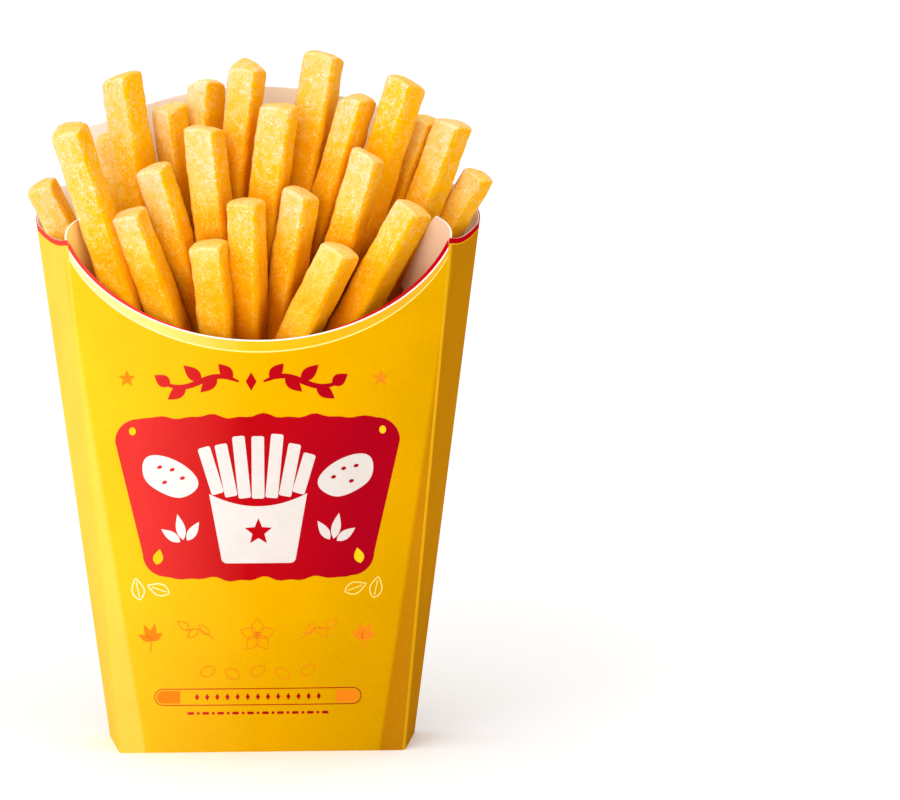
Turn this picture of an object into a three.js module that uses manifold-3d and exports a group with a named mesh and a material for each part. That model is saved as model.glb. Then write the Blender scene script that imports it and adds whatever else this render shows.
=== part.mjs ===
// A scoop carton of french fries, in millimetres: +Z up, front towards -Y, origin at the centre of its base.
// The carton is one folded blank of board. The fries are one heap: a core that fills the carton below the
// rim, and the fries that stand out of it.
import * as THREE from "three";
import { mergeVertices } from "three/addons/utils/BufferGeometryUtils.js";
import Module from "manifold-3d";

const wasm = await Module();
wasm.setup();

// Driving dimensions of the carton.
const BOARD = 0.5; // thickness of the board
const CORNER_Z = 146.5; // height where the front panel meets the sides
const BASE = { front: 40.2, back: 44, frontY: -11.25, backY: 11.25, frontFillet: 1.2, backFillet: 2 };
const MOUTH = { front: 53, back: 64, frontY: -22, backY: 22.5, frontFillet: 1.2, backFillet: 5 };
const BULGE = [2.4, 0.4, 1.5, 0.4]; // how far the front, right, back and left panels swell at mid height
const FRONT_RIM = { lowZ: 119, halfWidth: 55.9, rise: 40.3 }; // a quarter ellipse each side of the middle
const SIDE_DIP = 1.2; // sag of each side rim
const ARCH = { topZ: 184.6, radius: 101, endX: 45, cornerX: 52.6, cornerRise: 8.5 }; // top of the back panel
const SHOULDER = { innerX: 53.4, rise: 10.5, outerX: 60 }; // quarter ellipse down to each back corner
// An ear stands on its crease from footZ up; its outline is in mm inwards from and along the crease.
const EAR = {
  angle: 57, // degrees between the ear and the carton's width
  footZ: 114,
  edge: [21.5, -15],
  notch: [10.2, 3.8],
  tip: [7.8, 5.9],
  curve: [0.4, 4.5],
  end: [0, 1.5],
};

// Driving dimensions of the fries.
const FOOT_Z = 90; // the fries' feet, inside the core
const CORE = { topZ: 103, gap: 0.5 };
const WALL_ROOM = 6.3; // least distance from a fry's axis to the front or back panel
const FRY = { taper: 0.05, bend: 0.9, chamfer: 0.17 }; // taper: how much thicker the foot is
const TIP = { edgeScale: 0.97, edgeDrop: 1.4, topScale: 0.72 }; // the rounded end

// The fries that show: tip x, tip z, lean in degrees, depth from -1 at the front panel to 1 at the back,
// roll about the axis in degrees, and the side of the square section.
const SHOWN = [
  [-35.8, 153.7, -19, -1, -22, 8.6],
  [-14, 145.8, -5, -1, -17, 9.4],
  [-3.5, 156.6, 0.4, -0.8, -23, 8.9],
  [12.2, 159.8, 10.7, -0.5, -35, 8.3],
  [22.8, 143.8, 25.8, -1, -32, 9.1],
  [43.5, 155, 28.6, -0.75, -40, 8.8],
  [-29.1, 165.6, -15.4, -0.4, -26, 8.2],
  [-15, 175.9, -7, -0.25, -24, 9.3],
  [6.1, 182.1, 7.4, -0.1, -18, 9.3],
  [31, 169.6, 16.7, -0.35, -25, 8.6],
  [-51.8, 177.8, -15.8, -1.05, -21, 8.5],
  [-38, 190.5, -8.8, 0.15, -38, 9],
  [-25, 181.3, -7.8, 0.5, -45, 7.8],
  [-14.3, 187.8, 2, 0.8, -44, 8.5],
  [-2.2, 194, 7, 0.4, -27, 8.4],
  [18.9, 195.1, 10.6, 0.6, -21, 9.6],
  [28.4, 184.1, 17, 0.2, -40, 8.1],
  [41.8, 188.7, 17.3, 0.05, -38, 8.9],
  [54.8, 176.1, 21.5, 0.25, -38, 8.7],
  [47, 177, 19, 0.65, -30, 8.4],
  [-40.5, 173, -12.5, 0.65, -30, 8.6],
  [-61, 159.6, -27.5, 0.4, -15, 7.8],
  [62.2, 161.4, 29.5, 0.55, -31, 7.4],
];
// How each of their ends is cut: its slope along the section's width, its slope along the section's depth,
// its twist between the two, and how far the middle of the cut is below the tip.
const SHOWN_CUTS = [
  [-0.06, 0.06, 0.03, -0.1],
  [0.02, 0.06, -0.03, 0.9],
  [0, 0.04, 0.03, 0.3],
  [-0.19, 0, -0.04, 1.6],
  [-0.01, 0.08, 0, 0.6],
  [-0.07, 0.07, 0, 0.8],
  [0, 0.07, 0.05, 0.5],
  [-0.16, -0.1, -0.04, 0.2],
  [0.04, 0.07, 0.05, 0.6],
  [-0.16, -0.03, 0.02, 1.3],
  [-0.06, 0.17, -0.1, 0.5],
  [0.1, 0.09, 0, 0.9],
  [-0.1, 0.16, 0.13, 1],
  [0.05, 0.05, -0.19, 1.1],
  [-0.13, 0.19, -0.21, 2.2],
  [-0.06, -0.01, -0.07, 0.5],
  [0.09, 0.22, -0.17, 1.1],
  [-0.11, 0, 0, 0.8],
  [0.04, 0.13, 0, 0.1],
  [0, 0.15, 0, 0.5],
  [0, 0.1, -0.05, 0.3],
  [-0.08, 0.16, 0.03, 0.7],
  [-0.02, 0.18, 0.02, 0.4],
];
// The shorter fries behind and between them, in rows of evenly spaced tips that lean out with their distance.
const FILL = [
  { depth: 0.95, count: 9, halfSpan: 41, lowZ: 150, spread: 14 },
  { depth: 0.5, count: 8, halfSpan: 48, lowZ: 124, spread: 12 },
  { depth: 0.05, count: 8, halfSpan: 46, lowZ: 120, spread: 12 },
  { depth: -0.5, count: 5, halfSpan: 27, lowZ: 113, spread: 8 },
];
const FILL_FRY = { leanPerMm: 0.3, roll: -28, rollSpread: 8, size: 8.6, sizeSpread: 0.6 };
const FILL_CUT = { spread: 0.12, forward: 0.08, drop: 0.5 };

// How finely the curved shapes are divided.
const STEPS = { front: 26, frontFillet: 3, side: 7, backFillet: 5, back: 6, arch: 10, wall: 6, ear: 5 };
const CORE_STEPS = 4;
const FRY_RINGS = [0, 0.3, 0.6, 0.85]; // shares of a fry's length
const MERGE = 1e-4; // vertices nearer than this are one

const lerp = (a, b, t) => a + (b - a) * t;
const radians = THREE.MathUtils.degToRad;
const hash = (n) => {
  const s = Math.sin(n * 12.9898) * 43758.5453;
  return s - Math.floor(s);
};

// ---- The carton's plan: a trapezium with rounded corners that widens with height.

// Corners run anticlockwise from the front left; panel k joins corner k to corner k + 1.
function corners(z) {
  const t = z / CORNER_Z;
  const front = lerp(BASE.front, MOUTH.front, t);
  const back = lerp(BASE.back, MOUTH.back, t);
  const frontY = lerp(BASE.frontY, MOUTH.frontY, t);
  const backY = lerp(BASE.backY, MOUTH.backY, t);
  const frontFillet = lerp(BASE.frontFillet, MOUTH.frontFillet, Math.min(t, 1));
  const backFillet = lerp(BASE.backFillet, MOUTH.backFillet, Math.min(t, 1));
  return [
    { at: new THREE.Vector2(-front, frontY), fillet: frontFillet },
    { at: new THREE.Vector2(front, frontY), fillet: frontFillet },
    { at: new THREE.Vector2(back, backY), fillet: backFillet },
    { at: new THREE.Vector2(-back, backY), fillet: backFillet },
  ];
}

const direction = (from, to) => to.clone().sub(from).normalize();
const outward = (along) => new THREE.Vector2(along.y, -along.x);

// A point on corner k's fillet, where turn runs from 0 on panel k - 1 to 1 on panel k.
function filletPoint(k, turn, z, inset) {
  const ring = corners(z);
  const corner = ring[k];
  const before = direction(ring[(k + 3) % 4].at, corner.at);
  const after = direction(corner.at, ring[(k + 1) % 4].at);
  const bend = Math.acos(before.dot(after));
  const tangent = corner.fillet * Math.tan(bend / 2);
  const centre = corner.at
    .clone()
    .addScaledVector(before, -tangent)
    .addScaledVector(outward(before), -corner.fillet);
  const angle = Math.atan2(outward(before).y, outward(before).x) + turn * bend;
  const radius = corner.fillet - inset;
  return centre.add(new THREE.Vector2(Math.cos(angle), Math.sin(angle)).multiplyScalar(radius));
}

// A point on panel k, where along runs from 0 at corner k's fillet to 1 at the next one.
function panelPoint(k, along, z, inset) {
  const start = filletPoint(k, 1, z, inset);
  const end = filletPoint((k + 1) % 4, 0, z, inset);
  const swell = BULGE[k] * 4 * along * (1 - along) * Math.sin(Math.PI * Math.min(z / CORNER_Z, 1));
  return start.clone().lerp(end, along).addScaledVector(outward(direction(start, end)), swell);
}

// ---- The carton's rim, as columns round the plan: where each stands and how high it reaches.

const frontRimZ = (x) =>
  FRONT_RIM.lowZ + FRONT_RIM.rise * (1 - Math.sqrt(1 - (x / FRONT_RIM.halfWidth) ** 2));
const archZ = (x) => ARCH.topZ - ARCH.radius + Math.sqrt(ARCH.radius ** 2 - x ** 2);

// Points of the right half of the back rim, from the shoulder's outer end to the middle of the arch.
function backRimHalf() {
  const points = [];
  for (let i = 0; i <= STEPS.back; i++) {
    const x = lerp(SHOULDER.outerX, SHOULDER.innerX, i / STEPS.back);
    const share = (x - SHOULDER.innerX) / (MOUTH.back - SHOULDER.innerX);
    points.push([x, CORNER_Z + SHOULDER.rise * Math.sqrt(1 - share ** 2)]);
  }
  const cornerLow = archZ(ARCH.endX) - ARCH.cornerRise;
  for (let i = 0; i <= STEPS.back; i++) {
    const turn = (i / STEPS.back) * (Math.PI / 2);
    const x = ARCH.endX + (ARCH.cornerX - ARCH.endX) * Math.cos(turn);
    points.push([x, cornerLow + ARCH.cornerRise * Math.sin(turn)]);
  }
  for (let i = 1; i <= STEPS.arch; i++) {
    const x = ARCH.endX * (1 - i / STEPS.arch);
    points.push([x, archZ(x)]);
  }
  return points;
}

// The share of panel k's length at which a point of height z has this x.
function shareAt(k, x, z) {
  const start = filletPoint(k, 1, z, 0).x;
  const end = filletPoint((k + 1) % 4, 0, z, 0).x;
  return (x - start) / (end - start);
}

function rimColumns() {
  const columns = [];
  const addFillet = (k, steps, fromZ, toZ) => {
    for (let i = 1; i < steps; i++) {
      const turn = i / steps;
      columns.push({ point: (z, inset) => filletPoint(k, turn, z, inset), rim: lerp(fromZ, toZ, turn) });
    }
  };
  const addPanel = (k, along, rim) => {
    columns.push({ point: (z, inset) => panelPoint(k, along, z, inset), rim });
  };
  const frontEnd = filletPoint(1, 0, CORNER_Z, 0).x;
  for (let i = 0; i <= STEPS.front; i++) {
    const x = frontEnd * Math.sin((i / STEPS.front - 0.5) * Math.PI);
    addPanel(0, shareAt(0, x, frontRimZ(x)), frontRimZ(x));
  }
  const half = backRimHalf();
  const backEndZ = half[0][1];
  const sideZ = (along) => CORNER_Z - SIDE_DIP * 4 * along * (1 - along);
  addFillet(1, STEPS.frontFillet, frontRimZ(frontEnd), CORNER_Z);
  for (let i = 0; i <= STEPS.side; i++) {
    addPanel(1, i / STEPS.side, sideZ(i / STEPS.side));
  }
  addFillet(2, STEPS.backFillet, CORNER_Z, backEndZ);
  half.forEach(([x, z]) => addPanel(2, shareAt(2, x, z), z));
  half
    .slice(0, -1)
    .reverse()
    .forEach(([x, z]) => addPanel(2, shareAt(2, -x, z), z));
  addFillet(3, STEPS.backFillet, backEndZ, CORNER_Z);
  for (let i = 0; i <= STEPS.side; i++) {
    addPanel(3, i / STEPS.side, sideZ(1 - i / STEPS.side));
  }
  addFillet(0, STEPS.frontFillet, CORNER_Z, frontRimZ(frontEnd));
  return columns;
}

// ---- Closed meshes from rings of points.

// Rings of equal length run bottom to top, anticlockwise seen from above; a fan of faces closes each end.
function closedMesh(rings) {
  const count = rings[0].length;
  const middle = (ring) => ring.reduce((sum, p) => sum.add(p), new THREE.Vector3()).divideScalar(count);
  const vertices = [...rings.flat(), middle(rings[0]), middle(rings.at(-1))];
  const last = (rings.length - 1) * count;
  const lowMiddle = last + count;
  const topMiddle = lowMiddle + 1;
  const faces = [];
  for (let i = 0; i < count; i++) {
    const next = (i + 1) % count;
    for (let low = 0; low < last; low += count) {
      faces.push(low + i, low + next, low + next + count, low + i, low + next + count, low + i + count);
    }
    faces.push(next, i, lowMiddle);
    faces.push(last + i, last + next, topMiddle);
  }
  const geometry = new THREE.BufferGeometry().setFromPoints(vertices);
  geometry.setIndex(faces);
  return geometry;
}

function toSolid(geometry) {
  const merged = mergeVertices(geometry, MERGE);
  return new wasm.Manifold(
    new wasm.Mesh({
      numProp: 3,
      vertProperties: new Float32Array(merged.attributes.position.array),
      triVerts: new Uint32Array(merged.index.array),
    }),
  );
}

function toMesh(name, solid, material) {
  const made = solid.getMesh();
  const geometry = new THREE.BufferGeometry();
  geometry.setAttribute("position", new THREE.BufferAttribute(new Float32Array(made.vertProperties), 3));
  geometry.setIndex(new THREE.BufferAttribute(new Uint32Array(made.triVerts), 1));
  geometry.computeVertexNormals();
  const mesh = new THREE.Mesh(geometry, material);
  mesh.name = name;
  return mesh;
}

// ---- The carton.

const columns = rimColumns();
const lift = (point, z) => new THREE.Vector3(point.x, point.y, z);

// The walls and the floor: up the outside, over the rim and down the inside.
function shell() {
  const ring = (share, lowZ, inset) =>
    columns.map((c) => {
      const z = lerp(lowZ, c.rim, share);
      return lift(c.point(z, inset), z);
    });
  const shares = Array.from({ length: STEPS.wall + 1 }, (_, i) => i / STEPS.wall);
  const outer = shares.map((share) => ring(share, 0, 0));
  const inner = shares.map((share) => ring(share, BOARD, BOARD));
  return closedMesh([...outer, ...inner.reverse()]);
}

// One ear: the free top corner of the inner flap, which leans into the carton from a front crease.
function ear(side) {
  const outline = new THREE.Shape();
  outline.moveTo(0, EAR.footZ - CORNER_Z);
  outline.lineTo(...EAR.edge);
  outline.lineTo(...EAR.notch);
  outline.lineTo(...EAR.tip);
  outline.quadraticCurveTo(...EAR.curve, ...EAR.end);
  outline.closePath();
  const plate = new THREE.ExtrudeGeometry(outline, {
    depth: BOARD,
    bevelEnabled: false,
    curveSegments: STEPS.ear,
  });
  const crease = new THREE.Vector3(MOUTH.front - BASE.front, MOUTH.frontY - BASE.frontY, CORNER_Z);
  crease.normalize();
  const inwards = new THREE.Vector3(-Math.cos(radians(EAR.angle)), Math.sin(radians(EAR.angle)), 0);
  const face = new THREE.Vector3().crossVectors(inwards, crease).normalize();
  const hinge = new THREE.Vector3(MOUTH.front - BOARD, MOUTH.frontY + BOARD, CORNER_Z);
  plate.applyMatrix4(new THREE.Matrix4().makeBasis(inwards, crease, face).setPosition(hinge));
  const merged = mergeVertices(plate.deleteAttribute("normal").deleteAttribute("uv"), MERGE);
  if (side < 0) {
    merged.scale(-1, 1, 1);
    merged.index.array.reverse();
  }
  return merged;
}

function carton() {
  const blank = toSolid(shell()).add(toSolid(ear(1))).add(toSolid(ear(-1)));
  return toMesh("carton", blank, new THREE.MeshStandardMaterial({ color: 0xf6c200, roughness: 0.55 }));
}

// ---- The fries.

// Half the depth that a fry's axis may take at this height.
function axisRoom(z) {
  const t = z / CORNER_Z;
  return (lerp(BASE.backY, MOUTH.backY, t) - lerp(BASE.frontY, MOUTH.frontY, t)) / 2 - WALL_ROOM;
}

// One fry from its foot to its obliquely cut tip; n seeds its bend.
function fry([tipX, tipZ, lean, depth, roll, size], [across, forward, twist, drop], n) {
  const tip = new THREE.Vector3(tipX, depth * axisRoom(tipZ), tipZ);
  const footX = tipX - Math.tan(radians(lean)) * (tipZ - FOOT_Z);
  const foot = new THREE.Vector3(footX, depth * axisRoom(FOOT_Z), FOOT_Z);
  const axis = tip.clone().sub(foot);
  const length = axis.length();
  axis.normalize();
  const wide = new THREE.Vector3(0, 1, 0).cross(axis).normalize().applyAxisAngle(axis, radians(roll));
  const deep = axis.clone().cross(wide);
  const bend = FRY.bend * (2 * hash(n + 0.6) - 1);
  const half = size / 2;
  const flat = half * (1 - 2 * FRY.chamfer);
  const section = [
    [half, -flat], [half, flat], [flat, half], [-flat, half],
    [-half, flat], [-half, -flat], [-flat, -half], [flat, -half],
  ];
  const square = () => 0;
  const cut = (w, d) => across * w + forward * d + (twist * w * d) / half - drop;
  const ring = (share, scale, end, rise) =>
    section.map(([w, d]) => {
      const along = share * length + rise + end(w * scale, d * scale);
      const bow = bend * 4 * share * (1 - share);
      const width = scale * (1 + FRY.taper * (1 - share));
      return foot
        .clone()
        .addScaledVector(axis, along)
        .addScaledVector(wide, w * width)
        .addScaledVector(deep, d * width + bow);
    });
  const rings = FRY_RINGS.map((share) => ring(share, 1, square, 0));
  rings.push(ring(1, TIP.edgeScale, cut, -TIP.edgeDrop), ring(1, TIP.topScale, cut, 0));
  return closedMesh(rings);
}

// The mass of fries under the rim, clear of the board all round.
function core() {
  const inset = BOARD + CORE.gap;
  const everyOther = columns.filter((c, i) => i % 2 === 0);
  const rings = Array.from({ length: CORE_STEPS + 1 }, (_, i) => {
    const z = lerp(inset, CORE.topZ, i / CORE_STEPS);
    return everyOther.map((c) => lift(c.point(z, inset), z));
  });
  return closedMesh(rings);
}

function fillRow({ depth, count, halfSpan, lowZ, spread }, row) {
  return Array.from({ length: count }, (_, i) => {
    const x = lerp(-halfSpan, halfSpan, i / (count - 1));
    const n = count * row + i; // seeds this fry's height, roll and size
    const roll = FILL_FRY.roll + FILL_FRY.rollSpread * (2 * hash(n) - 1);
    const size = FILL_FRY.size + FILL_FRY.sizeSpread * (2 * hash(n + 0.3) - 1);
    const [across, along] = [0.1, 0.8].map((extra) => FILL_CUT.spread * (2 * hash(n + extra) - 1));
    const cut = [across, along + FILL_CUT.forward, 0, FILL_CUT.drop];
    return [[x, lowZ + spread * hash(n + 0.5), x * FILL_FRY.leanPerMm, depth, roll, size], cut];
  });
}

function fries() {
  const shown = SHOWN.map((row, n) => [row, SHOWN_CUTS[n]]);
  const pieces = [...shown, ...FILL.flatMap(fillRow)].map(([row, cut], n) => toSolid(fry(row, cut, n + 1)));
  const heap = pieces.reduce((sum, piece) => sum.add(piece), toSolid(core()));
  return toMesh("fries", heap, new THREE.MeshStandardMaterial({ color: 0xf2b233, roughness: 0.7 }));
}

const group = new THREE.Group();
group.add(carton(), fries());

export default group;
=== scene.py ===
"""French fries in a printed scoop carton. Lengths are in millimetres until a mesh is made."""
from functools import partial
from math import acos, ceil, cos, floor, hypot, pi, radians, sin, sqrt, tan
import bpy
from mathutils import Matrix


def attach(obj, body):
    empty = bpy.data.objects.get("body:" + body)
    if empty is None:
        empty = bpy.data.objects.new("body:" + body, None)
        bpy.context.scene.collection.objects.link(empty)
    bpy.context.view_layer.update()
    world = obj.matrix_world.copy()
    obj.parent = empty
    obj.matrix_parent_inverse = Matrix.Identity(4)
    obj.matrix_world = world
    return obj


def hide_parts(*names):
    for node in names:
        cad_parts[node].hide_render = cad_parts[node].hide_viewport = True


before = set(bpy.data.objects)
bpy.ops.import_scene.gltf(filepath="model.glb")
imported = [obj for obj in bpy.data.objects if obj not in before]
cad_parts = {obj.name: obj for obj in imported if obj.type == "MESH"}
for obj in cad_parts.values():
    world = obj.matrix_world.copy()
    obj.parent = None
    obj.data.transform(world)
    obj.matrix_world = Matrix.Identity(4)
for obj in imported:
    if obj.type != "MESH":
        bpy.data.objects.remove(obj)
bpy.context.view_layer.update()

from types import SimpleNamespace as Values

import bmesh
import bpy
import numpy as np
from mathutils import Matrix, Vector, noise

MM = 0.001

# Driving dimensions of the carton, as its solid has them.
BOARD = 0.5
CORNER_Z = 146.5
BASE = Values(front=40.2, back=44, front_y=-11.25, back_y=11.25, front_fillet=1.2, back_fillet=2)
MOUTH = Values(front=53, back=64, front_y=-22, back_y=22.5, front_fillet=1.2, back_fillet=5)
BULGE = (2.4, 0.4, 1.5, 0.4)  # how far each panel swells, from the front one round
FRONT_RIM = Values(low_z=119, half_width=55.9, rise=40.3)
RIM_LINE = Values(low_z=115.9, half_width=56.4, rise=42.2)  # the printed line under the front rim
SIDE_DIP = 1.2
ARCH = Values(top_z=184.6, radius=101, end_x=45, corner_x=52.6, corner_rise=8.5)
SHOULDER = Values(inner_x=53.4, rise=10.5, outer_x=60)
EAR = Values(
    angle=57, foot_z=114, top_z=151, top_u=0.4, end_v=1.5, tip=(7.8, 5.9), notch=(10.2, 3.8), edge=(21.5, -15)
)
WARP = Values(height=0.13, size=38, edge_rise=8, full_z=20)  # the board's slight waviness
BORDER = Values(height=1.45, corner_lift=0.5)  # the red border under the side and back rims
SHOWN_EDGE = Values(front=0.36, side=0.02)  # the white cut edge above the print
RED_LIP = 0.6  # the share of the rim's thickness that the red border reaches over
PALE_LINE = 0.4  # the thin line under the rim's band, a painted highlight
# The red-edged flap behind the front rim: its border fades towards end_x.
PLY = Values(width=1.05, fade=0.6, end_x=19, corner_gap=0.1, gap=0.03, thick=0.3, drop=7)

# Driving dimensions of the fries, as their solid has them.
FRY = Values(taper=0.05, bend=0.9)
FOOT_Z = 90
# The core's crust counts as fully deep in the heap, which paints it in shade.
CORE = Values(top_z=103, gap=0.5, lump=1.2, lump_size=6.0, sink=0.6, crust=(0.1, 1.0, 0.3, 0.0))
WALL_ROOM = 6.3
# Each fry that shows: tip x, tip z, lean, depth from -1 at the front to 1 at the back, roll and size; then
# its cut end's slopes across, forward and twisted, as shares of half the width, and its drop below the tip.
SHOWN = [
    ((-35.8, 153.7, -19, -1, -22, 8.6), (-0.06, 0.06, 0.03, -0.1)),
    ((-14, 145.8, -5, -1, -17, 9.4), (0.02, 0.06, -0.03, 0.9)),
    ((-3.5, 156.6, 0.4, -0.8, -23, 8.9), (0, 0.04, 0.03, 0.3)),
    ((12.2, 159.8, 10.7, -0.5, -35, 8.3), (-0.19, 0, -0.04, 1.6)),
    ((22.8, 143.8, 25.8, -1, -32, 9.1), (-0.01, 0.08, 0, 0.6)),
    ((43.5, 155, 28.6, -0.75, -40, 8.8), (-0.07, 0.07, 0, 0.8)),
    ((-29.1, 165.6, -15.4, -0.4, -26, 8.2), (0, 0.07, 0.05, 0.5)),
    ((-15, 175.9, -7, -0.25, -24, 9.3), (-0.16, -0.1, -0.04, 0.2)),
    ((6.1, 182.1, 7.4, -0.1, -18, 9.3), (0.04, 0.07, 0.05, 0.6)),
    ((31, 169.6, 16.7, -0.35, -25, 8.6), (-0.16, -0.03, 0.02, 1.3)),
    ((-51.8, 177.8, -15.8, -1.05, -21, 8.5), (-0.06, 0.17, -0.1, 0.5)),
    ((-38, 190.5, -8.8, 0.15, -38, 9), (0.1, 0.09, 0, 0.9)),
    ((-25, 181.3, -7.8, 0.5, -45, 7.8), (-0.1, 0.16, 0.13, 1)),
    ((-14.3, 187.8, 2, 0.8, -44, 8.5), (0.05, 0.05, -0.19, 1.1)),
    ((-2.2, 194, 7, 0.4, -27, 8.4), (-0.13, 0.19, -0.21, 2.2)),
    ((18.9, 195.1, 10.6, 0.6, -21, 9.6), (-0.06, -0.01, -0.07, 0.5)),
    ((28.4, 184.1, 17, 0.2, -40, 8.1), (0.09, 0.22, -0.17, 1.1)),
    ((41.8, 188.7, 17.3, 0.05, -38, 8.9), (-0.11, 0, 0, 0.8)),
    ((54.8, 176.1, 21.5, 0.25, -38, 8.7), (0.04, 0.13, 0, 0.1)),
    ((47, 177, 19, 0.65, -30, 8.4), (0, 0.15, 0, 0.5)),
    ((-40.5, 173, -12.5, 0.65, -30, 8.6), (0, 0.1, -0.05, 0.3)),
    ((-61, 159.6, -27.5, 0.4, -15, 7.8), (-0.08, 0.16, 0.03, 0.7)),
    ((62.2, 161.4, 29.5, 0.55, -31, 7.4), (-0.02, 0.18, 0.02, 0.4)),
]
# Each row of shorter fries: depth, count, half the row's width, lowest tip and how far tips rise above it.
FILL = ((0.95, 9, 41, 150, 14), (0.5, 8, 48, 124, 12), (0.05, 8, 46, 120, 12), (-0.5, 5, 27, 113, 8))
FILL_FRY = Values(lean_per_mm=0.3, roll=-28, roll_spread=8, size=8.6, size_spread=0.6)
FILL_CUT = Values(spread=0.12, forward=0.08, drop=0.5)


def lerp(a, b, t):
    return a + (b - a) * t


# A number from 0 to 1 that looks drawn at random and is the same each time.
def hash_of(n):
    s = sin(n * 12.9898) * 43758.5453
    return s - floor(s)


def spread_of(n):
    return 2 * hash_of(n) - 1


# The shares of a run at which its steps begin and end, from 0 to 1.
def shares_of(steps):
    return [i / steps for i in range(steps + 1)]


# ---- Materials

def new_material(name):
    material = bpy.data.materials.new(name)
    material.use_nodes = True
    tree = material.node_tree
    return material, tree, tree.nodes["Principled BSDF"]


# Links each socket to a value's socket, or sets it. A colour is a tuple of three.
def feed(tree, sockets, values):
    for socket, value in zip(sockets, values):
        if isinstance(value, bpy.types.NodeSocket):
            tree.links.new(value, socket)
        else:
            socket.default_value = (*value, 1) if socket.type == "RGBA" else value


def feed_named(tree, node, **inputs):
    feed(tree, [node.inputs[name.replace("_", " ")] for name in inputs], inputs.values())


# A new node, by its kind's name after "ShaderNode".
def add_node(tree, kind, settings=None, **inputs):
    node = tree.nodes.new("ShaderNode" + kind)
    for name, value in (settings or {}).items():
        setattr(node, name, value)
    feed_named(tree, node, **inputs)
    return node


def noise_value(tree, coords, scale, detail=2.0, roughness=0.5, distortion=0.0):
    return add_node(
        tree, "TexNoise",
        Vector=coords, Scale=scale, Detail=detail, Roughness=roughness, Distortion=distortion,
    ).outputs["Fac"]


def ranged(tree, value, low, high, to_low=0.0, to_high=1.0):
    node = add_node(
        tree, "MapRange", {"clamp": True, "interpolation_type": "SMOOTHSTEP"},
        Value=value, From_Min=low, From_Max=high, To_Min=to_low, To_Max=to_high,
    )
    return node.outputs["Result"]


def math_node(tree, operation, a, b=0.0):
    node = add_node(tree, "Math", {"operation": operation})
    feed(tree, node.inputs, (a, b))
    return node.outputs[0]


def mixed(tree, factor, a, b, blend="MIX"):
    node = add_node(tree, "Mix", {"data_type": "RGBA", "blend_type": blend})
    feed(tree, (node.inputs[0], node.inputs[6], node.inputs[7]), (factor, a, b))
    return node.outputs[2]


def tinted(tree, factor, colour, tint):
    return mixed(tree, factor, colour, tint, "MULTIPLY")


def shaded(tree, colour, shade):
    return tinted(tree, math_node(tree, "SUBTRACT", 1.0, shade), colour, (0, 0, 0))


def bumped(tree, shader, height, strength, distance):
    bump = add_node(tree, "Bump", Height=height, Strength=strength, Distance=distance)
    feed_named(tree, shader, Normal=bump.outputs["Normal"])


def object_coords(tree):
    return add_node(tree, "TexCoord").outputs["Object"]


def height_of(tree, coords):
    return add_node(tree, "SeparateXYZ", Vector=coords).outputs["Z"]


# How wide the carton is at the foot, as a share of its width at rim_z, in metres.
NARROWING = Values(foot_share=0.624, rim_z=0.137)


# A colour that changes across the carton, and paints light on the left and shade on the right: stops are (X
# in metres at the rim, colour), and they draw together towards the foot as the carton does.
def across_ramp(tree, coords, stops):
    low, high = stops[0][0], stops[-1][0]
    place = add_node(tree, "SeparateXYZ", Vector=coords).outputs
    narrowing = add_node(
        tree, "MapRange",
        Value=place["Z"], From_Max=NARROWING.rim_z, To_Min=NARROWING.foot_share,
    )
    across = math_node(tree, "DIVIDE", place["X"], narrowing.outputs["Result"])
    share = add_node(tree, "MapRange", Value=across, From_Min=low, From_Max=high)
    node = add_node(tree, "ValToRGB", Fac=share.outputs["Result"])
    ramp = node.color_ramp
    while len(ramp.elements) < len(stops):
        ramp.elements.new(0.5)
    for element, (x, colour) in zip(ramp.elements, stops):
        element.position = (x - low) / (high - low)
        element.color = (*colour, 1)
    return node.outputs["Color"]


# The board's surface: the scales of its clouding and its paper grain, how much they darken it, and the
# painted shade at its foot, up to foot_z in metres.
PAPER = Values(clouds=55.0, grain=1000.0, cloud_share=0.05, fleck_share=0.04, foot=0.85, foot_z=0.075)


# Board and ink: a colour with faint mottling, paper grain in the bump and a satin surface. The colour may be
# one or stops across the carton, which paint light on the left and shade on the right.
def board_material(name, colour, roughness):
    material, tree, shader = new_material(name)
    coords = object_coords(tree)
    base = across_ramp(tree, coords, colour) if isinstance(colour, list) else colour
    clouds = noise_value(tree, coords, PAPER.clouds, 4.0)
    grain = noise_value(tree, coords, PAPER.grain, 2.0, 0.55, 0.4)
    cloud = ranged(tree, clouds, 0.35, 0.65, 1 - PAPER.cloud_share, 1.0)
    fleck = ranged(tree, grain, 0.3, 0.7, 1 - PAPER.fleck_share, 1.0)
    # Painted shade: the board darkens towards its foot.
    foot = ranged(tree, height_of(tree, coords), 0.0, PAPER.foot_z, PAPER.foot, 1.0)
    shade = math_node(tree, "MULTIPLY", math_node(tree, "MULTIPLY", cloud, fleck), foot)
    surface = shaded(tree, base, shade)
    feed_named(tree, shader, Base_Color=surface, Roughness=roughness, Specular_IOR_Level=0.0)
    bumped(tree, shader, grain, 0.3, 0.0002)
    return material


SOAK_AND_SHADE = Values(dry_z=0.165, wet_z=0.11, patches=60.0)  # where soaked fat and painted shade tint the inside, in metres


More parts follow.
